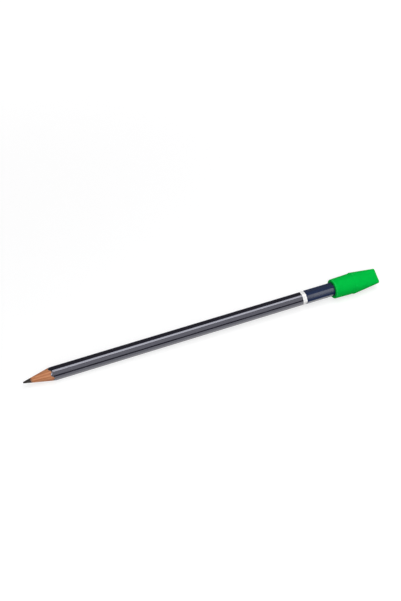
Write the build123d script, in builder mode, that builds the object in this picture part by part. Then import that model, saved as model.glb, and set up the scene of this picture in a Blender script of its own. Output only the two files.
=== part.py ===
from build123d import *
from math import cos, radians, tan
import os

# Pencil: sizes over the lacquer
pencil_length = 175.0
across_flats = 6.5
edge_radius = 1.7
lead_diameter = 2.2
point_angle = 24.5
point_flat = 0.7

# Paint
lacquer_thickness = 0.12
ring_width = 2.2
ring_thickness = 0.06
dip_length = 28.4
dip_thickness = 0.1
dip_edge_chamfer = 0.1

# Eraser topper
topper_length = 26.5
socket_length = 11.0
mouth_diameter = 10.2
socket_diameter = 10.8
bore_depth = 12.5
fit_clearance = 0.05
rim_radius = 0.6
mouth_chamfer = 0.25
head_width = 11.2
head_thickness = 10.8
head_corner = 4.6
head_roll = 38.7
tip_width = 8.0
tip_thickness = 2.2
tip_corner = 0.9
tip_edge_radius = 0.6

# Places along the axis, with the middle of the whole at zero
overall_length = pencil_length - bore_depth + topper_length
point_x = -overall_length / 2
end_x = point_x + pencil_length
dip_x = end_x - dip_length
ring_x = dip_x - ring_width
mouth_x = end_x - bore_depth
shoulder_x = mouth_x + socket_length
tip_x = mouth_x + topper_length

# Sizes that follow from the ones above
hexagon_sides = 6
half_hexagon_angle = 180 / hexagon_sides
wood_length = pencil_length - dip_thickness
wood_flats = across_flats - 2 * lacquer_thickness
wood_edge_radius = edge_radius - lacquer_thickness
corner_reach = (across_flats / 2 - edge_radius) / cos(radians(half_hexagon_angle)) + edge_radius
bore_radius = corner_reach + dip_thickness + fit_clearance
point_slope = tan(radians(point_angle / 2))
cone_end_radius = point_flat / 2 + pencil_length * point_slope


def head_plane(x):
    return Plane.YZ.offset(x).rotated((head_roll, 0, 0))


# Cross sections of the bare wood and of the lacquered barrel
with BuildSketch() as wood_section:
    RegularPolygon(wood_flats / 2, hexagon_sides, major_radius=False)
    fillet(wood_section.vertices(), wood_edge_radius)

with BuildSketch() as lacquer_section:
    add(wood_section.sketch)
    offset(amount=lacquer_thickness)

# The cone that the sharpener leaves, with a slightly blunt point
with BuildPart() as sharpened_cone:
    with BuildSketch(Plane.XZ):
        with BuildLine():
            Polyline(
                (point_x, 0),
                (point_x, point_flat / 2),
                (end_x, cone_end_radius),
                (end_x, 0),
                close=True,
            )
        make_face()
    revolve(axis=Axis.X)

# Graphite lead
with BuildPart() as graphite_core:
    with BuildSketch(Plane.YZ.offset(point_x)):
        Circle(lead_diameter / 2)
    extrude(amount=wood_length)
    add(sharpened_cone.part, mode=Mode.INTERSECT)

# Wooden casing: two grooved halves that meet on the plane through two corners
with BuildPart() as upper_slat:
    with BuildSketch(Plane.YZ.offset(point_x)):
        add(wood_section.sketch)
        Circle(lead_diameter / 2, mode=Mode.SUBTRACT)
    extrude(amount=wood_length)
    add(sharpened_cone.part, mode=Mode.INTERSECT)
    split(bisect_by=Plane.XY, keep=Keep.TOP)

with BuildPart() as lower_slat:
    mirror(upper_slat.part, about=Plane.XY)

# Lacquer: its front edge is scalloped because the cone cuts the hexagon
with BuildPart() as lacquer_coat:
    with BuildSketch(Plane.YZ.offset(point_x)):
        add(lacquer_section.sketch)
        add(wood_section.sketch, mode=Mode.SUBTRACT)
    extrude(amount=wood_length)
    add(sharpened_cone.part, mode=Mode.INTERSECT)

# Painted ring
with BuildPart() as white_ring:
    with BuildSketch(Plane.YZ.offset(ring_x)):
        add(lacquer_section.sketch)
        offset(amount=ring_thickness)
        add(lacquer_section.sketch, mode=Mode.SUBTRACT)
    extrude(amount=ring_width)

# Dipped end: a thin cup of paint over the barrel and its flat end
with BuildPart() as end_dip:
    with BuildSketch(Plane.YZ.offset(dip_x)):
        add(lacquer_section.sketch)
        offset(amount=dip_thickness)
    extrude(amount=dip_length)
    chamfer(end_dip.edges().group_by(Axis.X)[-1], dip_edge_chamfer)
    with BuildSketch(Plane.YZ.offset(dip_x)):
        add(lacquer_section.sketch)
    extrude(amount=dip_length - dip_thickness, mode=Mode.SUBTRACT)

# Eraser topper: a round socket that grows into a wedge with barbed shoulders
with BuildPart() as eraser_topper:
    with Locations(Plane.YZ.offset(mouth_x)):
        Cone(
            mouth_diameter / 2,
            socket_diameter / 2,
            socket_length,
            align=(Align.CENTER, Align.CENTER, Align.MIN),
        )
    with BuildSketch(head_plane(shoulder_x)):
        RectangleRounded(head_width, head_thickness, head_corner)
    with BuildSketch(head_plane(tip_x)):
        RectangleRounded(tip_width, tip_thickness, tip_corner)
    loft(ruled=True)
    fillet(eraser_topper.edges().group_by(Axis.X)[-1], tip_edge_radius)
    fillet(eraser_topper.edges().group_by(Axis.X)[0], rim_radius)
    with Locations(Plane.YZ.offset(mouth_x)):
        Cylinder(
            bore_radius,
            bore_depth,
            align=(Align.CENTER, Align.CENTER, Align.MIN),
            mode=Mode.SUBTRACT,
        )
    mouth_edges = eraser_topper.edges().group_by(Axis.X)[0]
    chamfer(mouth_edges.sort_by(SortBy.RADIUS)[0], mouth_chamfer)

# One file for each piece
os.makedirs("parts", exist_ok=True)
graphite_core.part.label = "graphite_core"
export_step(graphite_core.part, "parts/graphite_core.step")
upper_slat.part.label = "upper_slat"
export_step(upper_slat.part, "parts/upper_slat.step")
lower_slat.part.label = "lower_slat"
export_step(lower_slat.part, "parts/lower_slat.step")
lacquer_coat.part.label = "lacquer_coat"
export_step(lacquer_coat.part, "parts/lacquer_coat.step")
white_ring.part.label = "white_ring"
export_step(white_ring.part, "parts/white_ring.step")
end_dip.part.label = "end_dip"
export_step(end_dip.part, "parts/end_dip.step")
eraser_topper.part.label = "eraser_topper"
export_step(eraser_topper.part, "parts/eraser_topper.step")
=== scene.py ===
import math

import bmesh
import bpy
from mathutils import Euler, Matrix, Vector, noise


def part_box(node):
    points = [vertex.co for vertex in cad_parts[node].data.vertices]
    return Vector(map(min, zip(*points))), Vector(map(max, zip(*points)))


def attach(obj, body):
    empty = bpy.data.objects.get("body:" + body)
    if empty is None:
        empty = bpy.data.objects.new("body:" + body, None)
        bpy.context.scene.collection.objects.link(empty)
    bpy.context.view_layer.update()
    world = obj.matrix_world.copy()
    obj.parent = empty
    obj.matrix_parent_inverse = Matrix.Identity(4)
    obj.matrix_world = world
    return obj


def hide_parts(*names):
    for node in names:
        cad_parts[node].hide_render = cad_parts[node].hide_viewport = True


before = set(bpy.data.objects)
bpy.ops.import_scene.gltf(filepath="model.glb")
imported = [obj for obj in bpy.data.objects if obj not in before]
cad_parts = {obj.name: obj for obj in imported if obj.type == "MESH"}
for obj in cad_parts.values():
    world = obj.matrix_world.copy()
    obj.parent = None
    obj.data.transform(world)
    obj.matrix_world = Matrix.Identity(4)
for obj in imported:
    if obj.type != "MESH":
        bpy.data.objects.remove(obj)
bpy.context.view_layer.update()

mm = 0.001
weld = 0.0002 * mm             # points closer than this are one
quarterTurn = math.pi / 2
scene = bpy.context.scene
scene.view_settings.view_transform = "Standard"

# places along the pencil, read off the frame
leadLow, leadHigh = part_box("graphite_core")
woodLow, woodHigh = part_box("upper_slat")
coatLow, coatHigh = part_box("lacquer_coat")
ringLow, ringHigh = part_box("white_ring")
dipLow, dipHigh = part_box("end_dip")
capLow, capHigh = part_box("eraser_topper")

# the hexagon: a sharp core, and the edge radius of each coat spread round it
sixth = math.radians(60)
halfSixth = sixth / 2
swell = math.radians(4.5)  # lean at the ends of each slightly rounded facet
coatSpread = (coatHigh.z - coatHigh.y * math.cos(halfSixth)) / (1 - math.cos(halfSixth))
coreFlat = coatHigh.z - coatSpread
coreCorner = coreFlat / (math.cos(halfSixth) + math.tan(swell) / 4)
woodSpread, ringSpread, dipSpread = (high.z - coreFlat for high in (woodHigh, ringHigh, dipHigh))
leadRadius = leadHigh.z

# the sharpener's cone leaves the lead where the wood starts and ends on the flats; it leans a little
coneSlope = (coreFlat + woodSpread - leadRadius) / (coatLow.x - woodLow.x)
pointRadius = leadRadius - (woodLow.x - leadLow.x) * coneSlope
sharpening = {
    "lean": 0.012,                  # added to the cone's slope on the steepest side
    "steepSide": math.radians(52),  # from +Y towards +Z
}


def coneSlopeAt(angle):
    return coneSlope + sharpening["lean"] * math.cos(angle - sharpening["steepSide"])


def coneRadius(x, angle):
    return pointRadius + (x - leadLow.x) * coneSlopeAt(angle)


def coneX(radius, angle):
    return leadLow.x + (radius - pointRadius) / coneSlopeAt(angle)


def between(a, b, t):
    return a + (b - a) * t


def ease(t):
    t = min(max(t, 0.0), 1.0)
    return t * t * (3 - 2 * t)


def wobble(point, perMetre, seed=0.0):
    return noise.noise(point * perMetre + Vector((seed, seed, seed)))


def wave(point, look, seed):
    # how far a painted edge strays at this place, from 0 to the whole wave
    return look["edgeWave"] * (0.5 + 0.5 * wobble(point, look["wavesPerMetre"], seed))


def softRise(steps):
    # a rounded edge from its foot to its top: share of rows, of width and of height
    for i in range(steps + 1):
        turn = i / steps * quarterTurn
        yield i / steps, 1 - math.cos(turn), math.sin(turn)


# mesh helpers

def across(angle):
    # direction square to the pencil, turned from +Y towards +Z
    return Vector((0, math.cos(angle), math.sin(angle)))


def angleOf(point):
    return math.atan2(point.z, point.y)


def hexColumns(flatSteps, cornerSteps):
    # place on the sharp core and outward angle, once round from the corner at +Y
    columns = []
    turn = halfSixth - swell
    for side in range(6):
        start = side * sixth
        here, after = across(start) * coreCorner, across(start + sixth) * coreCorner
        outward = across(start + halfSixth)
        for i in range(cornerSteps):
            columns.append((here, start + turn * i / cornerSteps))
        for i in range(flatSteps + 1):
            t = i / flatSteps
            rise = coreCorner * math.tan(swell) * t * (1 - t)
            angle = start + halfSixth + swell * (2 * t - 1)
            columns.append((here.lerp(after, t) + outward * rise, angle))
        for i in range(1, cornerSteps):
            columns.append((after, start + sixth - turn * (1 - i / cornerSteps)))
    return columns


def hexPoint(column, spread, x):
    core, angle = column
    return Vector((x, core.y + spread * math.cos(angle), core.z + spread * math.sin(angle)))


def cornerness(column):
    # 0 on a flat, 1 on the middle of a rounded corner
    return abs(column[1] % sixth - halfSixth) / halfSixth


def skin(rows, **layers):
    # quads between neighbouring rows of points, each row closed on itself
    mesh = bmesh.new()
    for name in layers:
        mesh.verts.layers.float.new(name)
    grid = [[mesh.verts.new(point) for point in row] for row in rows]
    for name, values in layers.items():
        layer = mesh.verts.layers.float[name]
        for verts, row in zip(grid, values):
            for vert, value in zip(verts, row):
                vert[layer] = value
    count = len(rows[0])
    for near, far in zip(grid, grid[1:]):
        for i in range(count):
            j = (i + 1) % count
            mesh.faces.new((near[i], near[j], far[j], far[i]))
    bmesh.ops.remove_doubles(mesh, verts=mesh.verts, dist=weld)
    bmesh.ops.dissolve_degenerate(mesh, edges=mesh.edges, dist=weld)
    bmesh.ops.recalc_face_normals(mesh, faces=mesh.faces)
    return mesh


def makePiece(name, mesh, material, body, node, roll=0, sharpAngle=40):
    turn = Matrix.Rotation(math.radians(roll), 4, "X")
    bmesh.ops.transform(mesh, matrix=turn, verts=mesh.verts)
    data = bpy.data.meshes.new(name)
    mesh.to_mesh(data)
    mesh.free()
    data.materials.append(material)
    data.shade_smooth()
    data.set_sharp_from_angle(angle=math.radians(sharpAngle))
    piece = bpy.data.objects.new(name, data)
    scene.collection.objects.link(piece)
    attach(piece, body)
    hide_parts(node)
    print("piece:", name, len(data.polygons), "faces")


# shader helpers

def feed(tree, socket, value):
    if isinstance(value, bpy.types.NodeSocket):
        tree.links.new(value, socket)
    else:
        socket.default_value = value


def addNode(tree, kind, inputs=None, **settings):
    node = tree.nodes.new(kind)
    for key, value in settings.items():
        setattr(node, key, value)
    for key, value in (inputs or {}).items():
        feed(tree, node.inputs[key], value)
    return node


def newGroup(name, inputs, outputs):
    group = bpy.data.node_groups.new(name, "ShaderNodeTree")
    for label, kind, value in inputs:
        socket = group.interface.new_socket(label, in_out="INPUT", socket_type=kind)
        socket.default_value = value
    for label in outputs:
        group.interface.new_socket(label, in_out="OUTPUT", socket_type="NodeSocketFloat")
    given = group.nodes.new("NodeGroupInput").outputs
    return group, given, group.nodes.new("NodeGroupOutput").inputs


def useGroup(tree, group, **values):
    return addNode(tree, "ShaderNodeGroup", values, node_tree=group).outputs


def maths(tree, operation, a, b=0.0, clamp=False):
    inputs = {0: a, 1: b}
    return addNode(tree, "ShaderNodeMath", inputs, operation=operation, use_clamp=clamp).outputs[0]


def plus(tree, a, b, clamp=False):
    return maths(tree, "ADD", a, b, clamp)


def times(tree, a, b):
    return maths(tree, "MULTIPLY", a, b)


def remap(tree, value, fromLow, fromHigh, toLow=0.0, toHigh=1.0):
    limits = {"From Min": fromLow, "From Max": fromHigh, "To Min": toLow, "To Max": toHigh}
    inputs = {"Value": value, **limits}
    return addNode(tree, "ShaderNodeMapRange", inputs, interpolation_type="SMOOTHSTEP").outputs[0]


def blendColours(tree, mask, a, b):
    a = a if isinstance(a, bpy.types.NodeSocket) else (*a, 1)
    b = b if isinstance(b, bpy.types.NodeSocket) else (*b, 1)
    return addNode(tree, "ShaderNodeMix", {0: mask, 6: a, 7: b}, data_type="RGBA").outputs[2]


def ownPlace(tree):
    return addNode(tree, "ShaderNodeTexCoord").outputs["Object"]


def stretch(tree, place, factors):
    inputs = {0: place, 1: factors}
    return addNode(tree, "ShaderNodeVectorMath", inputs, operation="MULTIPLY").outputs[0]


def speckle(tree, place, perMetre, detail, **more):
    inputs = {"Vector": place, "Scale": perMetre, "Detail": detail, **more}
    return addNode(tree, "ShaderNodeTexNoise", inputs).outputs[0]


def vertexValue(tree, name):
    node = addNode(tree, "ShaderNodeAttribute", attribute_name=name, attribute_type="GEOMETRY")
    return node.outputs["Fac"]


def relief(tree, height, depth, under=None):
    inputs = {"Height": height, "Distance": depth, "Strength": 1.0}
    if under:
        inputs["Normal"] = under
    return addNode(tree, "ShaderNodeBump", inputs).outputs[0]


def newMaterial(name, constants):
    material = bpy.data.materials.new(name)
    material.use_nodes = True
    tree = material.node_tree
    shader = tree.nodes["Principled BSDF"]
    for key, value in constants.items():
        shader.inputs[key].default_value = value
    return material, tree, shader


# effects that several finishes share

effects = {
    "grainRoughness": 0.62,
    "smearsPerMetre": 160.0,
    "hairsPerMetre": 5200.0,
    "hairStretch": (0.05, 1.0, 1.0),  # hairlines run along the pencil
    "hairBend": 0.3,
    "cloudsPerMetre": 420.0,
    "specksPerMetre": 950.0,
    "speckSize": (0.11, 0.05),        # rim and heart of a speck, as shares of its cell
    "dustColour": (0.52, 0.5, 0.47),
}


def makeFineGrain():
    group, given, out = newGroup(
        "fineGrain",
        [("PerMetre", "NodeSocketFloat", 1000.0), ("Stretch", "NodeSocketVector", (1, 1, 1)),
         ("Detail", "NodeSocketFloat", 4.0)],
        ["Grain"],
    )
    place = stretch(group, ownPlace(group), given["Stretch"])
    grain = speckle(group, place, given["PerMetre"], given["Detail"], Roughness=effects["grainRoughness"])
    group.links.new(grain, out["Grain"])
    return group


def makeHandlingMarks():
    # faint finger smears and hairline rubs
    group, given, out = newGroup(
        "handlingMarks",
        [("Smears", "NodeSocketFloat", 0.5), ("Rubs", "NodeSocketFloat", 0.5)],
        ["Smear", "Rub"],
    )
    place = ownPlace(group)
    broad = speckle(group, place, effects["smearsPerMetre"], 3.0)
    smear = remap(group, broad, 0.48, 0.72)
    group.links.new(times(group, smear, given["Smears"]), out["Smear"])
    drawn = stretch(group, place, effects["hairStretch"])
    lines = speckle(group, drawn, effects["hairsPerMetre"], 1.0, Distortion=effects["hairBend"])
    hair = remap(group, lines, 0.66, 0.74)
    patch = remap(group, broad, 0.42, 0.6)
    group.links.new(times(group, times(group, hair, patch), given["Rubs"]), out["Rub"])
    return group


def makeEdgeWear():
    group, given, out = newGroup(
        "edgeWear",
        [("Edge", "NodeSocketFloat", 0.0), ("Amount", "NodeSocketFloat", 0.5),
         ("PerMetre", "NodeSocketFloat", 1500.0)],
        ["Wear"],
    )
    breakUp = speckle(group, ownPlace(group), given["PerMetre"], 5.0)
    worn = remap(group, maths(group, "SUBTRACT", given["Edge"], breakUp), 0.1, 0.55)
    group.links.new(times(group, worn, given["Amount"]), out["Wear"])
    return group


def makeSettledDust():
    # specks and a thin film on what faces up
    group, given, out = newGroup(
        "settledDust",
        [("Film", "NodeSocketFloat", 0.1), ("Specks", "NodeSocketFloat", 0.3)],
        ["Dust"],
    )
    facing = addNode(group, "ShaderNodeNewGeometry").outputs["Normal"]
    upward = addNode(group, "ShaderNodeSeparateXYZ", {0: facing}).outputs["Z"]
    lying = remap(group, upward, 0.15, 0.95)
    place = ownPlace(group)
    cloud = speckle(group, place, effects["cloudsPerMetre"], 4.0)
    film = times(group, cloud, given["Film"])
    spread = {"Vector": place, "Scale": effects["specksPerMetre"], "Randomness": 1.0}
    cells = addNode(group, "ShaderNodeTexVoronoi", spread).outputs["Distance"]
    speck = remap(group, cells, *effects["speckSize"])
    sparse = remap(group, cloud, 0.5, 0.62)
    specks = times(group, times(group, speck, sparse), given["Specks"])
    group.links.new(times(group, plus(group, film, specks), lying), out["Dust"])
    return group


fineGrain = makeFineGrain()
handlingMarks = makeHandlingMarks()
edgeWear = makeEdgeWear()
settledDust = makeSettledDust()
print("shared effects:", len(bpy.data.node_groups), "node groups")


# graphite lead

lead = {
    "around": 64,
    "tipRows": 5,
    "coneRows": 24,
    "barrelRows": 8,
    "tipRound": 0.12 * mm,       # worn round of the point
    "dark": (0.0105, 0.0085, 0.0075),
    "bright": (0.037, 0.029, 0.025),
    "roughness": (0.42, 0.6),
    "grainPerMetre": 5200.0,
    "grainStretch": (1.0, 0.5, 0.5),
    "grainDepth": 0.004 * mm,
    "turningsPerMetre": 900.0,   # rings that the sharpener leaves
    "turningStretch": (9.0, 0.6, 0.6),
    "turningDepth": 0.012 * mm,
    "shader": {"Specular IOR Level": 0.3},
}


def graphiteFinish():
    material, tree, shader = newMaterial("graphite", lead["shader"])
    grain = useGroup(tree, fineGrain, PerMetre=lead["grainPerMetre"], Stretch=lead["grainStretch"])["Grain"]
    rings = useGroup(tree, fineGrain, PerMetre=lead["turningsPerMetre"], Stretch=lead["turningStretch"],
                     Detail=2.0)["Grain"]
    marks = useGroup(tree, handlingMarks, Smears=0.6, Rubs=0.8)
    tone = plus(tree, times(tree, grain, 0.6), marks["Rub"], clamp=True)
    tree.links.new(blendColours(tree, tone, lead["dark"], lead["bright"]), shader.inputs["Base Color"])
    tree.links.new(remap(tree, rings, 0.3, 0.7, *lead["roughness"]), shader.inputs["Roughness"])
    scraped = relief(tree, rings, lead["turningDepth"])
    tree.links.new(relief(tree, grain, lead["grainDepth"], scraped), shader.inputs["Normal"])
    return material


def buildLead():
    pointX, backX = leadLow.x, leadHigh.x
    startX = pointX + lead["tipRound"]

    def profile(angle):
        # from the middle of the point, back along one side, to the middle of the end
        line = []
        for share, along, up in softRise(lead["tipRows"]):
            line.append((pointX + lead["tipRound"] * along, pointRadius * up))
        coneEnd = coneX(leadRadius, angle)
        for i in range(1, lead["coneRows"] + 1):
            t = i / lead["coneRows"]
            line.append((between(startX, coneEnd, t), between(pointRadius, leadRadius, t)))
        for i in range(1, lead["barrelRows"] + 1):
            line.append((between(coneEnd, backX, i / lead["barrelRows"]), leadRadius))
        line.append((backX, 0.0))
        return [Vector((x, r * math.cos(angle), r * math.sin(angle))) for x, r in line]

    turn = [2 * math.pi * i / lead["around"] for i in range(lead["around"])]
    rows = [list(row) for row in zip(*(profile(angle) for angle in turn))]
    makePiece("graphiteLead", skin(rows), graphiteFinish(), "pencil", "graphite_core")


buildLead()


# cedar casing: two grooved slats, glued on the plane through two corners

cedar = {
    "coneRows": 28,
    "settleRows": 4,
    "barrelRows": 8,
    "settle": 2.0 * mm,              # rows straighten over this length behind the scallops
    "glueGap": 0.004 * mm,
    "glueGroove": 0.02 * mm,
    "pale": (0.605, 0.27, 0.124),
    "warm": (0.455, 0.163, 0.07),
    "line": (0.31, 0.105, 0.043),
    "roughness": (0.5, 0.72),
    "drawnOut": (0.035, 1.0, 1.0),   # fibres run along the pencil
    "yearsPerMetre": 330.0,
    "fibresPerMetre": 2400.0,
    "fibreDepth": 0.02 * mm,
    "flecksPerMetre": 3600.0,
    "fleckStretch": (0.12, 1.0, 1.0),
    "mottlePerMetre": 260.0,
    "mottleStretch": (0.4, 1.0, 1.0),
    "bladePerMetre": 2300.0,         # chatter of the sharpener
    "bladeStretch": (1.0, 0.12, 0.12),
    "bladeDepth": 0.014 * mm,
    "smudge": (0.09, 0.075, 0.066),  # graphite rubbed onto the wood next to the lead
    "smudgeLength": 1.1 * mm,
    "shader": {"Specular IOR Level": 0.3},
}


def cedarFinish(name, shift):
    material, tree, shader = newMaterial(name, cedar["shader"])
    place = ownPlace(tree)
    moved = addNode(tree, "ShaderNodeVectorMath", {0: place, 1: shift}, operation="ADD").outputs[0]
    drawn = stretch(tree, moved, cedar["drawnOut"])
    years = addNode(tree, "ShaderNodeTexWave", {
        "Vector": drawn, "Scale": cedar["yearsPerMetre"], "Distortion": 3.2,
        "Detail": 3.0, "Detail Scale": 1.4,
    }, bands_direction="DIAGONAL").outputs["Fac"]
    fibres = speckle(tree, drawn, cedar["fibresPerMetre"], 5.0, Roughness=0.65)
    flecks = useGroup(tree, fineGrain, PerMetre=cedar["flecksPerMetre"], Stretch=cedar["fleckStretch"],
                      Detail=2.0)["Grain"]
    mottle = useGroup(tree, fineGrain, PerMetre=cedar["mottlePerMetre"],
                      Stretch=cedar["mottleStretch"])["Grain"]
    tone = plus(tree, times(tree, years, 0.45), times(tree, fibres, 0.7))
    body = blendColours(tree, remap(tree, tone, 0.3, 0.85), cedar["pale"], cedar["warm"])
    body = blendColours(tree, remap(tree, flecks, 0.6, 0.78, 0.0, 0.7), body, cedar["line"])
    body = blendColours(tree, remap(tree, mottle, 0.45, 0.75, 0.0, 0.35), body, cedar["warm"])
    lengthwise = addNode(tree, "ShaderNodeSeparateXYZ", {0: place}).outputs["X"]
    nearLead = remap(tree, lengthwise, woodLow.x + cedar["smudgeLength"], woodLow.x)
    rubbed = times(tree, nearLead, remap(tree, mottle, 0.35, 0.7, 0.1, 0.75))
    tree.links.new(blendColours(tree, rubbed, body, cedar["smudge"]), shader.inputs["Base Color"])
    tree.links.new(remap(tree, fibres, 0.3, 0.7, *cedar["roughness"]), shader.inputs["Roughness"])
    blade = useGroup(tree, fineGrain, PerMetre=cedar["bladePerMetre"], Stretch=cedar["bladeStretch"],
                     Detail=1.0)["Grain"]
    cut = relief(tree, blade, cedar["bladeDepth"])
    tree.links.new(relief(tree, fibres, cedar["fibreDepth"], cut), shader.inputs["Normal"])
    return material


def buildSlat(name, node, side, shift):
    columns = hexColumns(12, 6)
    columns = columns[:len(columns) // 2 + 1]  # half way round, corner to corner
    outward = []
    for column in columns:
        point = hexPoint(column, woodSpread, 0)
        outward.append((point.normalized(), point.length, side * angleOf(point)))

    def section(xOf, radiusOf):
        outer, groove = [], []
        for i, (way, reach, angle) in enumerate(outward):
            x = xOf(reach, angle)
            radius = radiusOf(x, reach, angle)
            if i in (0, len(outward) - 1):
                radius = max(radius - cedar["glueGroove"], leadRadius)
            outer.append((x, way * radius))
            groove.append((x, way * leadRadius))
        loop = outer + groove[::-1]
        return [Vector((x, p.y, side * (p.z + cedar["glueGap"]))) for x, p in loop]

    rows = []
    for i in range(cedar["coneRows"] + 1):
        t = i / cedar["coneRows"]
        rows.append(section(
            lambda reach, angle: between(coneX(leadRadius, angle), coneX(reach, angle), t),
            lambda x, reach, angle: coneRadius(x, angle),
        ))
    straightX = max(coneX(reach, angle) for way, reach, angle in outward) + cedar["settle"]
    for i in range(1, cedar["settleRows"] + 1):
        t = i / cedar["settleRows"]
        rows.append(section(
            lambda reach, angle: between(coneX(reach, angle), straightX, t),
            lambda x, reach, angle: reach,
        ))
    for i in range(1, cedar["barrelRows"] + 1):
        rowX = between(straightX, woodHigh.x, i / cedar["barrelRows"])
        rows.append(section(lambda reach, angle: rowX, lambda x, reach, angle: reach))
    rows.append(section(lambda reach, angle: woodHigh.x, lambda x, reach, angle: leadRadius))
    makePiece(name, skin(rows), cedarFinish(name + "Cedar", shift), "pencil", node)


buildSlat("upperSlat", "upper_slat", 1, (0.0, 0.0, 0.0))
buildSlat("lowerSlat", "lower_slat", -1, (0.3, 0.0117, 0.0229))


# the finish that barrel, ring and dipped end share, each with its own colours and depths

paint = {
    "peelPerMetre": 620.0,
    "peelStretch": (0.45, 1.0, 1.0),
    "grainPerMetre": 2600.0,
    "grainStretch": (0.03, 1.0, 1.0),
    "wearPerMetre": 1300.0,
    "smears": 0.8,
    "rubs": 0.7,
    "film": 0.25,                # thin dust film, as a share of the specks
}


def paintFinish(name, look):
    material, tree, shader = newMaterial(name, look["shader"])
    peel = useGroup(tree, fineGrain, PerMetre=paint["peelPerMetre"], Stretch=paint["peelStretch"],
                    Detail=2.0)["Grain"]
    grain = useGroup(tree, fineGrain, PerMetre=paint["grainPerMetre"], Stretch=paint["grainStretch"],
                     Detail=3.0)["Grain"]
    marks = useGroup(tree, handlingMarks, Smears=paint["smears"], Rubs=paint["rubs"])
    edge = vertexValue(tree, "edge")
    worn = useGroup(tree, edgeWear, Edge=edge, Amount=look["wear"], PerMetre=paint["wearPerMetre"])["Wear"]
    film = useGroup(tree, settledDust, Film=look["dust"] * paint["film"], Specks=look["dust"])["Dust"]
    body = blendColours(tree, remap(tree, grain, 0.35, 0.75, 0.0, 0.6), look["deep"], look["thin"])
    body = blendColours(tree, worn, body, look["primer"])
    cut = remap(tree, vertexValue(tree, "cut"), 0.35, 0.8)
    body = blendColours(tree, cut, body, look["primer"])
    tree.links.new(blendColours(tree, film, body, effects["dustColour"]), shader.inputs["Base Color"])
    rough = plus(tree, times(tree, marks["Smear"], 0.5), marks["Rub"])
    rough = plus(tree, rough, times(tree, edge, look["scuff"]))
    rough = plus(tree, rough, times(tree, film, 2.0), clamp=True)
    rough = maths(tree, "MAXIMUM", remap(tree, rough, 0.0, 1.0, *look["roughness"]), cut)
    tree.links.new(rough, shader.inputs["Roughness"])
    if "glossEnd" in look:
        rubbed = plus(tree, times(tree, marks["Smear"], 0.3), marks["Rub"])
        gloss = remap(tree, edge, *look["glossEnd"], 1.0, 0.0)
        gloss = maths(tree, "SUBTRACT", gloss, rubbed, clamp=True)
        tree.links.new(gloss, shader.inputs["Coat Weight"])
    wavy = relief(tree, peel, look["peelDepth"])
    tree.links.new(relief(tree, grain, look["grainDepth"], wavy), shader.inputs["Normal"])
    return material


# lacquer on the barrel, scalloped where the cone cuts the hexagon

lacquer = {
    "edgeRows": 3,
    "settleRows": 10,
    "barrelRows": 40,
    "settle": 5.0 * mm,              # rows straighten over this length behind the scallops
    "flake": 0.11 * mm,              # how far the cut edge has chipped back
    "flakesPerMetre": 1900.0,
    "flakePower": 1.5,               # few deep chips among many shallow ones
    "deep": (0.004, 0.004, 0.009),
    "thin": (0.01, 0.01, 0.018),     # where the paint lies thin on the grain of the wood
    "primer": (0.12, 0.085, 0.065),  # undercoat that the sharpener lays open
    "roughness": (0.07, 0.22),
    "scuff": 0.05,                   # duller towards the edges
    "wear": 0.1,
    "dust": 0.05,
    "peelDepth": 0.005 * mm,
    "grainDepth": 0.005 * mm,        # grain of the wood that shows through the paint
    "sharpAngle": 8,
    "shader": {"IOR": 1.7, "Specular IOR Level": 1.0, "Specular Tint": (0.87, 0.87, 1.0, 1)},
}


def buildLacquer():
    columns = hexColumns(22, 8)

    def frontX(column, spread):
        point = hexPoint(column, spread, 0)
        chip = max(0.0, wobble(hexPoint(column, coatSpread, 0), lacquer["flakesPerMetre"]))
        return coneX(point.length, angleOf(point)) + lacquer["flake"] * chip ** lacquer["flakePower"]

    rows, cut = [], []

    def addRow(points, laidOpen=0.0):
        rows.append(points)
        cut.append([laidOpen] * len(points))

    for i in range(lacquer["edgeRows"] + 1):
        t = i / lacquer["edgeRows"]
        spread = between(woodSpread, coatSpread, t)
        addRow([hexPoint(c, spread, frontX(c, spread)) for c in columns], 1 - t)
    fronts = [frontX(c, coatSpread) for c in columns]
    straightX = max(fronts) + lacquer["settle"]
    for i in range(1, lacquer["settleRows"] + 1):
        t = (i / lacquer["settleRows"]) ** 2
        addRow([hexPoint(c, coatSpread, between(x, straightX, t)) for c, x in zip(columns, fronts)])
    for i in range(1, lacquer["barrelRows"] + 1):
        x = between(straightX, coatHigh.x, i / lacquer["barrelRows"])
        addRow([hexPoint(c, coatSpread, x) for c in columns])
    addRow([hexPoint(c, woodSpread, coatHigh.x) for c in columns])
    addRow(list(rows[0]), 1.0)
    edge = [[cornerness(c) for c in columns] for row in rows]
    mesh = skin(rows, edge=edge, cut=cut)
    finish = paintFinish("barrelLacquer", lacquer)
    makePiece("lacquerCoat", mesh, finish, "pencil", "lacquer_coat",
              sharpAngle=lacquer["sharpAngle"])


buildLacquer()


# white ring, laid on by a roller

ring = {
    "edgeRows": 6,
    "middleRows": 4,
    "shoulder": 0.22 * mm,       # how softly the paint rises at the two edges
    "edgeWave": 0.05 * mm,
    "wavesPerMetre": 520.0,
    "seeds": (3.1, 7.7),         # one for each edge
    "deep": (0.9, 0.9, 0.9),
    "thin": (0.84, 0.84, 0.84),
    "primer": (0.33, 0.33, 0.35),
    "roughness": (0.2, 0.4),
    "scuff": 0.3,
    "wear": 0.25,
    "dust": 0.05,
    "peelDepth": 0.008 * mm,
    "grainDepth": 0.004 * mm,
    "shader": {},
}


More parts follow.
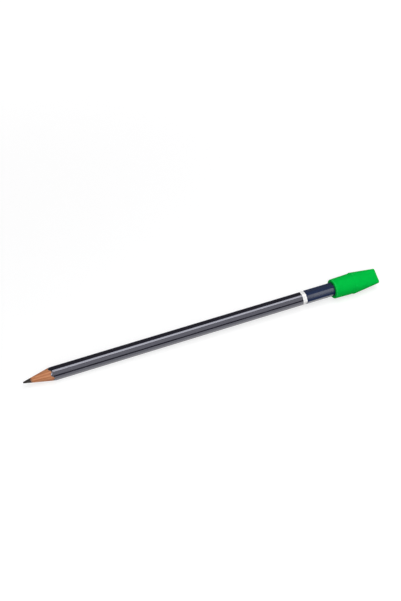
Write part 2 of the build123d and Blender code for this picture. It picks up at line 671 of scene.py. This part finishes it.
def buildRing():
    columns = hexColumns(16, 6)
    feet = [hexPoint(c, coatSpread, 0) for c in columns]
    startSeed, endSeed = ring["seeds"]
    starts = [ringLow.x + wave(point, ring, startSeed) for point in feet]
    ends = [ringHigh.x - wave(point, ring, endSeed) for point in feet]
    rows, edge = [], []

    def addRow(points, worn):
        rows.append(points)
        edge.append([worn] * len(points))

    def softEdge(places, inward, share, along, up):
        spread = between(coatSpread, ringSpread, up)
        inset = inward * ring["shoulder"] * along
        addRow([hexPoint(c, spread, x + inset) for c, x in zip(columns, places)], 1 - share)

    rise = list(softRise(ring["edgeRows"]))
    for step in rise:
        softEdge(starts, 1, *step)
    front = rows[-1]
    back = [hexPoint(c, ringSpread, x - ring["shoulder"]) for c, x in zip(columns, ends)]
    for i in range(1, ring["middleRows"]):
        addRow([a.lerp(b, i / ring["middleRows"]) for a, b in zip(front, back)], 0.0)
    for step in reversed(rise):
        softEdge(ends, -1, *step)
    addRow(list(rows[0]), 1.0)
    mesh = skin(rows, edge=edge)
    makePiece("whiteRing", mesh, paintFinish("ringPaint", ring), "pencil", "white_ring")


buildRing()


# dipped end, a cup of navy paint

dip = {
    "edgeRows": 6,
    "sideRows": 12,
    "faceShares": (0.0, 0.3, 0.6, 0.85, 1.0),  # rows of the two end faces, from the axis outwards
    "bead": 0.3 * mm,            # soft front edge of the dip
    "endRound": 0.1 * mm,
    "edgeWave": 0.06 * mm,
    "wavesPerMetre": 380.0,
    "seed": 5.3,
    "deep": (0.005, 0.014, 0.051),
    "thin": (0.009, 0.021, 0.068),
    "primer": (0.05, 0.06, 0.1),
    "roughness": (0.5, 0.85),
    "scuff": 0.5,
    "wear": 0.2,
    "dust": 0.05,
    "glossEnd": (0.1, 0.4),      # gloss stops short of the corners, which the socket rubs dull
    "endRub": 0.3,               # how dull the flat end is rubbed
    "peelDepth": 0.009 * mm,
    "grainDepth": 0.002 * mm,
    "shader": {
        "Specular IOR Level": 0.15, "Specular Tint": (0.78, 0.88, 1.0, 1),
        "Coat IOR": 2.1, "Coat Roughness": 0.2,
    },
}


def buildDip():
    columns = hexColumns(16, 6)
    floorX = dipHigh.x - (dipSpread - coatSpread)
    fronts = [dipLow.x + wave(hexPoint(c, coatSpread, 0), dip, dip["seed"]) for c in columns]
    rows, edge = [], []

    def addRow(points, worn, corners=0.0):
        rows.append(points)
        edge.append([max(worn, corners * cornerness(c)) for c in columns])

    def faceRow(x, spread, share):
        # outline of an end face, drawn in towards the axis
        outline = [hexPoint(c, spread, x) for c in columns]
        return [Vector((x, p.y * share, p.z * share)) for p in outline]

    for share in dip["faceShares"]:
        addRow(faceRow(floorX, coatSpread, share), 0.0)
    for share, along, up in softRise(dip["edgeRows"]):
        spread = between(coatSpread, dipSpread, up)
        inset = dip["bead"] * along
        addRow([hexPoint(c, spread, x + inset) for c, x in zip(columns, fronts)], 1 - share, 1.0)
    front = rows[-1]
    roundX = dipHigh.x - dip["endRound"]
    back = [hexPoint(c, dipSpread, roundX) for c in columns]
    for i in range(1, dip["sideRows"] + 1):
        addRow([a.lerp(b, i / dip["sideRows"]) for a, b in zip(front, back)], 0.0, 1.0)
    for i in range(1, dip["edgeRows"] + 1):
        turn = i / dip["edgeRows"] * quarterTurn
        x = roundX + dip["endRound"] * math.sin(turn)
        spread = dipSpread - dip["endRound"] * (1 - math.cos(turn))
        addRow([hexPoint(c, spread, x) for c in columns], math.sin(2 * turn), math.cos(turn))
    for share in dip["faceShares"][-2::-1]:
        addRow(faceRow(dipHigh.x, dipSpread - dip["endRound"], share), dip["endRub"])
    mesh = skin(rows, edge=edge)
    makePiece("endDip", mesh, paintFinish("dipPaint", dip), "pencil", "end_dip")


buildDip()


# eraser topper: round socket, barbed shoulders, wedge head

topper = {
    "roll": 38.7,                # degrees that the flat head is turned about the pencil
    "mouthRadius": 5.1 * mm,
    "socketRadius": 5.4 * mm,
    "socketLength": 11.0 * mm,
    "headWide": 11.2 * mm,
    "headThick": 10.8 * mm,
    "headCorner": 4.6 * mm,
    "tipWide": 8.0 * mm,
    "tipThick": 2.2 * mm,
    "tipCorner": 0.9 * mm,
    "tipRound": 0.6 * mm,
    "rimRound": 0.6 * mm,
    "boreRadius": 3.64 * mm,
    "boreDepth": 12.5 * mm,
    "boreFillet": 0.5 * mm,
    "mouthChamfer": 0.25 * mm,
    "shoulderRise": 1.1 * mm,    # length over which the lugs stand up
    "shoulderAhead": 0.6,        # share of that rise on the wedge's side of the shoulder
    "lugHeight": 0.45 * mm,
    "flash": 0.05 * mm,          # seam that the two mould halves leave
    "flashWidth": 0.13 * mm,
    "softness": 0.035 * mm,      # unevenness of the moulded rubber
    "unevenPerMetre": 260.0,
    "unevenSeed": 1.7,
    "endRows": 4,
    "roundRows": 8,
    "wedgeRows": 30,
    "lugRows": 8,
    "socketRows": 20,
    "chamferRows": 4,
    "boreRows": 8,
    "filletRows": 5,
    "floorShares": (0.6, 0.3, 0.0),
    "arcSteps": 14,
    "wideSteps": 14,
    "narrowShares": (0.2, 0.38, 0.44, 0.5, 0.56, 0.62, 0.8),  # closer beside the mould seam
    "lugWear": 0.8,
    "socketWear": 0.7,
    # the rim's paler edge colour is part rubbed rubber, part painted highlight on its rounded edge
    "rimWearAndHighlight": 0.9,
    "wearRows": 3,               # rows over which the wear comes on
    "wearPerMetre": 900.0,
    "wear": 0.55,
    "green": (0.0, 0.495, 0.055),
    "deep": (0.0, 0.44, 0.051),
    "bloomAndHighlight": (0.035, 0.54, 0.15),  # dry, rubbed edges, paler also as a painted highlight on the rounded rim and edges
    "specks": 0.15,
    "roughness": (0.62, 0.85),
    "grainPerMetre": 4200.0,
    "grainDepth": 0.03 * mm,
    "cloudsPerMetre": 240.0,
    "cloudDepth": 0.06 * mm,
    "sharpAngle": 60,
    "shader": {"Specular IOR Level": 0.025},
}


def rubberFinish():
    material, tree, shader = newMaterial("eraserRubber", topper["shader"])
    fine = useGroup(tree, fineGrain, PerMetre=topper["grainPerMetre"], Detail=3.0)["Grain"]
    cloudy = useGroup(tree, fineGrain, PerMetre=topper["cloudsPerMetre"], Detail=3.0)["Grain"]
    worn = useGroup(tree, edgeWear, Edge=vertexValue(tree, "edge"), Amount=topper["wear"],
                    PerMetre=topper["wearPerMetre"])["Wear"]
    dust = useGroup(tree, settledDust, Film=0.0, Specks=topper["specks"])["Dust"]
    body = blendColours(tree, remap(tree, cloudy, 0.35, 0.7, 0.0, 0.6), topper["green"], topper["deep"])
    body = blendColours(tree, remap(tree, fine, 0.58, 0.72, 0.0, 0.35), body, topper["deep"])
    # edges turn a paler green: rubbed rubber, and a painted highlight along the rim and edges
    body = blendColours(tree, worn, body, topper["bloomAndHighlight"])
    tree.links.new(blendColours(tree, dust, body, effects["dustColour"]), shader.inputs["Base Color"])
    tree.links.new(remap(tree, fine, 0.3, 0.7, *topper["roughness"]), shader.inputs["Roughness"])
    soft = relief(tree, cloudy, topper["cloudDepth"])
    tree.links.new(relief(tree, fine, topper["grainDepth"], soft), shader.inputs["Normal"])
    return material


def roundedRectangle(wide, thick, corner):
    # corner arcs joined by straights, once round
    steps = topper["arcSteps"]
    wideShares = [i / topper["wideSteps"] for i in range(1, topper["wideSteps"])]
    arcs = []
    for k, (right, up) in enumerate([(1, 1), (-1, 1), (-1, -1), (1, -1)]):
        centre = Vector((right * (wide / 2 - corner), up * (thick / 2 - corner)))
        turn = [quarterTurn * (k + i / steps) for i in range(steps + 1)]
        arcs.append([centre + corner * Vector((math.cos(a), math.sin(a))) for a in turn])
    points = []
    for k, arc in enumerate(arcs):
        nextArc = arcs[(k + 1) % 4]
        shares = wideShares if k % 2 == 0 else topper["narrowShares"]
        points += arc + [arc[-1].lerp(nextArc[0], share) for share in shares]
    return points


def buildTopper():
    mouthX, tipX = capLow.x, capHigh.x
    shoulderX = mouthX + topper["socketLength"]
    shoulder = roundedRectangle(topper["headWide"], topper["headThick"], topper["headCorner"])
    ways = [p.normalized() for p in shoulder]
    lugs = [ease((p.length - topper["socketRadius"]) / topper["lugHeight"]) for p in shoulder]

    def circle(radius):
        return [way * radius for way in ways]

    def headSection(x, inset=0.0):
        t = (x - shoulderX) / (tipX - shoulderX)
        wide = between(topper["headWide"], topper["tipWide"], t)
        thick = between(topper["headThick"], topper["tipThick"], t)
        corner = between(topper["headCorner"], topper["tipCorner"], t)
        return roundedRectangle(wide - 2 * inset, thick - 2 * inset, max(corner - inset, 0.0))

    def socketRadius(x):
        t = (x - mouthX) / topper["socketLength"]
        return between(topper["mouthRadius"], topper["socketRadius"], t)

    def lastRows(i, count):
        return ease((i - count) / topper["wearRows"] + 1)

    rows, edge = [], []

    def addRow(x, flats, worn=0.0, moulded=True):
        row = []
        for flat in flats:
            point = Vector((x, flat.x, flat.y))
            if moulded and flat.length > topper["mouthRadius"] / 2:
                uneven = 0.5 + 0.5 * wobble(point, topper["unevenPerMetre"], topper["unevenSeed"])
                seam = max(0.0, 1 - (flat.y / topper["flashWidth"]) ** 2)
                out = topper["flash"] * seam - topper["softness"] * uneven
                point.yz = flat * (1 + out / flat.length)
            row.append(point)
        rows.append(row)
        edge.append(worn if isinstance(worn, list) else [worn] * len(row))

    # end face of the wedge, from its middle line out to the rounded edge
    for i in range(topper["endRows"] + 1):
        inset = between(topper["tipThick"] / 2, topper["tipRound"], i / topper["endRows"])
        addRow(tipX, headSection(tipX, inset), moulded=False)
    for i in reversed(range(topper["roundRows"])):
        turn = i / topper["roundRows"] * quarterTurn
        inset = topper["tipRound"] * (1 - math.cos(turn))
        x = tipX - topper["tipRound"] * (1 - math.sin(turn))
        addRow(x, headSection(x, inset), worn=math.sin(2 * turn))
    # wedge faces down to the lugs
    riseX = shoulderX + topper["shoulderAhead"] * topper["shoulderRise"]
    topX = tipX - topper["tipRound"]
    for i in range(1, topper["wedgeRows"] + 1):
        x = between(topX, riseX, i / topper["wedgeRows"])
        worn = topper["lugWear"] * lastRows(i, topper["wedgeRows"])
        addRow(x, headSection(x), worn=[worn * lug for lug in lugs])
    # the lugs drop to the round socket, and their wear fades before they end
    for i in range(1, topper["lugRows"] + 1):
        t = i / topper["lugRows"]
        x = riseX - topper["shoulderRise"] * t
        head = headSection(max(x, shoulderX))
        socket = circle(socketRadius(x))
        worn = topper["lugWear"] * (1 - ease(1.4 * t))
        addRow(x, [a.lerp(b, ease(t)) for a, b in zip(head, socket)], worn=[worn * lug for lug in lugs])
    lastX = riseX - topper["shoulderRise"]
    rimX = mouthX + topper["rimRound"]
    for i in range(1, topper["socketRows"] + 1):
        x = between(lastX, rimX, i / topper["socketRows"])
        worn = topper["socketWear"] * lastRows(i, topper["socketRows"])
        addRow(x, circle(socketRadius(x)), worn=worn)
    # rim, mouth and bore
    for i in range(1, topper["roundRows"] + 1):
        turn = i / topper["roundRows"] * quarterTurn
        x = rimX - topper["rimRound"] * math.sin(turn)
        radius = topper["mouthRadius"] - topper["rimRound"] * (1 - math.cos(turn))
        addRow(x, circle(radius), worn=topper["rimWearAndHighlight"] * math.cos(turn))
    chamfer, bore, fillet = topper["mouthChamfer"], topper["boreRadius"], topper["boreFillet"]
    for share, along, up in softRise(topper["chamferRows"]):
        addRow(mouthX + chamfer * along, circle(bore + chamfer * (1 - up)), moulded=False)
    bottomX = mouthX + topper["boreDepth"]
    for i in range(1, topper["boreRows"] + 1):
        x = between(mouthX + chamfer, bottomX - fillet, i / topper["boreRows"])
        addRow(x, circle(bore), moulded=False)
    for i in range(1, topper["filletRows"] + 1):
        turn = i / topper["filletRows"] * quarterTurn
        radius = bore - fillet * (1 - math.cos(turn))
        addRow(bottomX - fillet * (1 - math.sin(turn)), circle(radius), moulded=False)
    for share in topper["floorShares"]:
        addRow(bottomX, circle((bore - fillet) * share), moulded=False)
    mesh = skin(rows, edge=edge)
    makePiece("eraserTopper", mesh, rubberFinish(), "topper", "eraser_topper",
              roll=topper["roll"], sharpAngle=topper["sharpAngle"])


buildTopper()


# stage: a pale sheet that the barrel and the topper's lugs rest on

sheet = {
    "side": 6.0,
    "drop": 0.02 * mm,
    "colour": (0.4, 0.4, 0.4),
    "mottle": 0.985,             # darkest tone of the paper, as a share of its colour
    "lift": (0.685, 1.0),        # extra white for the camera and for reflections, near and far
    "liftReach": (0.05, 0.8),
    "grainPerMetre": 900.0,
    "grainDepth": 0.02 * mm,
    "shader": {"Roughness": 0.9, "Specular IOR Level": 0.1, "Emission Color": (1, 1, 1, 1)},
}


def sheetFinish():
    material, tree, shader = newMaterial("sheetPaper", sheet["shader"])
    grain = useGroup(tree, fineGrain, PerMetre=sheet["grainPerMetre"])["Grain"]
    darker = tuple(sheet["mottle"] * c for c in sheet["colour"])
    tree.links.new(blendColours(tree, grain, sheet["colour"], darker), shader.inputs["Base Color"])
    tree.links.new(relief(tree, grain, sheet["grainDepth"]), shader.inputs["Normal"])
    rays = addNode(tree, "ShaderNodeLightPath").outputs
    seen = plus(tree, rays["Is Camera Ray"], rays["Is Glossy Ray"], clamp=True)
    seen = plus(tree, seen, rays["Is Transmission Ray"], clamp=True)
    away = addNode(tree, "ShaderNodeVectorMath", {0: ownPlace(tree)}, operation="LENGTH").outputs["Value"]
    lift = remap(tree, away, *sheet["liftReach"], *sheet["lift"])
    tree.links.new(times(tree, seen, lift), shader.inputs["Emission Strength"])
    return material


def buildSheet():
    frontX = coneX(-coatLow.z, -quarterTurn)
    lugX = capLow.x + topper["socketLength"]
    tilt = math.atan2(coatLow.z - capLow.z, lugX - frontX)
    half = sheet["side"] / 2
    corners = [(-half, -half, 0), (half, -half, 0), (half, half, 0), (-half, half, 0)]
    data = bpy.data.meshes.new("floorSheet")
    data.from_pydata(corners, [], [(0, 1, 2, 3)])
    data.materials.append(sheetFinish())
    floor = bpy.data.objects.new("floorSheet", data)
    floor.location = (0, 0, coatLow.z - sheet["drop"] + frontX * math.tan(tilt))
    floor.rotation_euler = (0, tilt, 0)
    scene.collection.objects.link(floor)


buildSheet()
print("stage: floor sheet")


# light: a long box overhead, a low one in front and a soft one beside the camera,
# in a dim room with pale walls

lights = {
    "overhead": {"at": (0.17, -0.132, 0.607), "aimX": 0.17, "size": (0.4, 0.73), "watts": 3.0},
    "front": {"at": (0.2, -0.716, 0.357), "aimX": 0.2, "size": (1.35, 0.297), "watts": 1.07},
    "side": {"at": (-0.27, -0.63, 0.46), "aimX": 0.0, "size": (0.4, 0.45), "watts": 2.75},
}
room = {
    "dim": (0.07, 0.07, 0.075),
    "wall": (1.0, 1.0, 1.0),
    "frontTop": (0.075, 0.1),    # sine of the angle up to which the walls are pale
    "backTop": (0.14, 0.26),
    "backStart": (-0.5, -0.1),   # where the higher back wall sets in, along Y
}


def buildLights():
    for name, look in lights.items():
        lamp = bpy.data.lights.new(name + "Box", "AREA")
        lamp.shape = "RECTANGLE"
        lamp.size, lamp.size_y = look["size"]
        lamp.energy = look["watts"]
        holder = bpy.data.objects.new(name + "Box", lamp)
        holder.location = look["at"]
        towards = Vector((look["aimX"], 0, 0)) - holder.location
        holder.rotation_euler = towards.to_track_quat("-Z", "Y").to_euler()
        scene.collection.objects.link(holder)


def buildRoom():
    world = bpy.data.worlds.new("room")
    scene.world = world
    world.use_nodes = True
    tree = world.node_tree
    way = addNode(tree, "ShaderNodeTexCoord").outputs["Generated"]
    parts = addNode(tree, "ShaderNodeSeparateXYZ", {0: way}).outputs
    behind = remap(tree, parts["Y"], *room["backStart"])
    backWall = times(tree, remap(tree, parts["Z"], *room["backTop"], 1.0, 0.0), behind)
    pale = maths(tree, "MAXIMUM", remap(tree, parts["Z"], *room["frontTop"], 1.0, 0.0), backWall)
    colour = blendColours(tree, pale, room["dim"], room["wall"])
    tree.links.new(colour, tree.nodes["Background"].inputs["Color"])


buildLights()
buildRoom()
print("light:", len(lights), "boxes and the room")


# camera at the photograph's angle

view = {
    "azimuth": -20.157,
    "elevation": 36.272,
    "roll": -4.08,               # degrees about the line of sight
    "distance": 408.9 * mm,
    "aim": (-5.41 * mm, -2.94 * mm, 19.36 * mm),
    "nearest": 10 * mm,
    "lens": 51.49,               # millimetres on a film side of 36, along the tall side
    "filmSide": 36.0,
}


def buildCamera():
    azimuth, elevation = math.radians(view["azimuth"]), math.radians(view["elevation"])
    back = Vector((math.sin(azimuth) * math.cos(elevation),
                   -math.cos(azimuth) * math.cos(elevation), math.sin(elevation)))
    data = bpy.data.cameras.new("camera")
    data.sensor_fit = "VERTICAL"
    data.sensor_height = view["filmSide"]
    data.lens = view["lens"]
    data.clip_start = view["nearest"]
    camera = bpy.data.objects.new("camera", data)
    camera.location = Vector(view["aim"]) + back * view["distance"]
    level = Euler((quarterTurn - elevation, 0, azimuth)).to_matrix()
    camera.rotation_euler = (level @ Matrix.Rotation(math.radians(view["roll"]), 3, "Z")).to_euler()
    scene.collection.objects.link(camera)
    scene.camera = camera


buildCamera()
print("camera set")
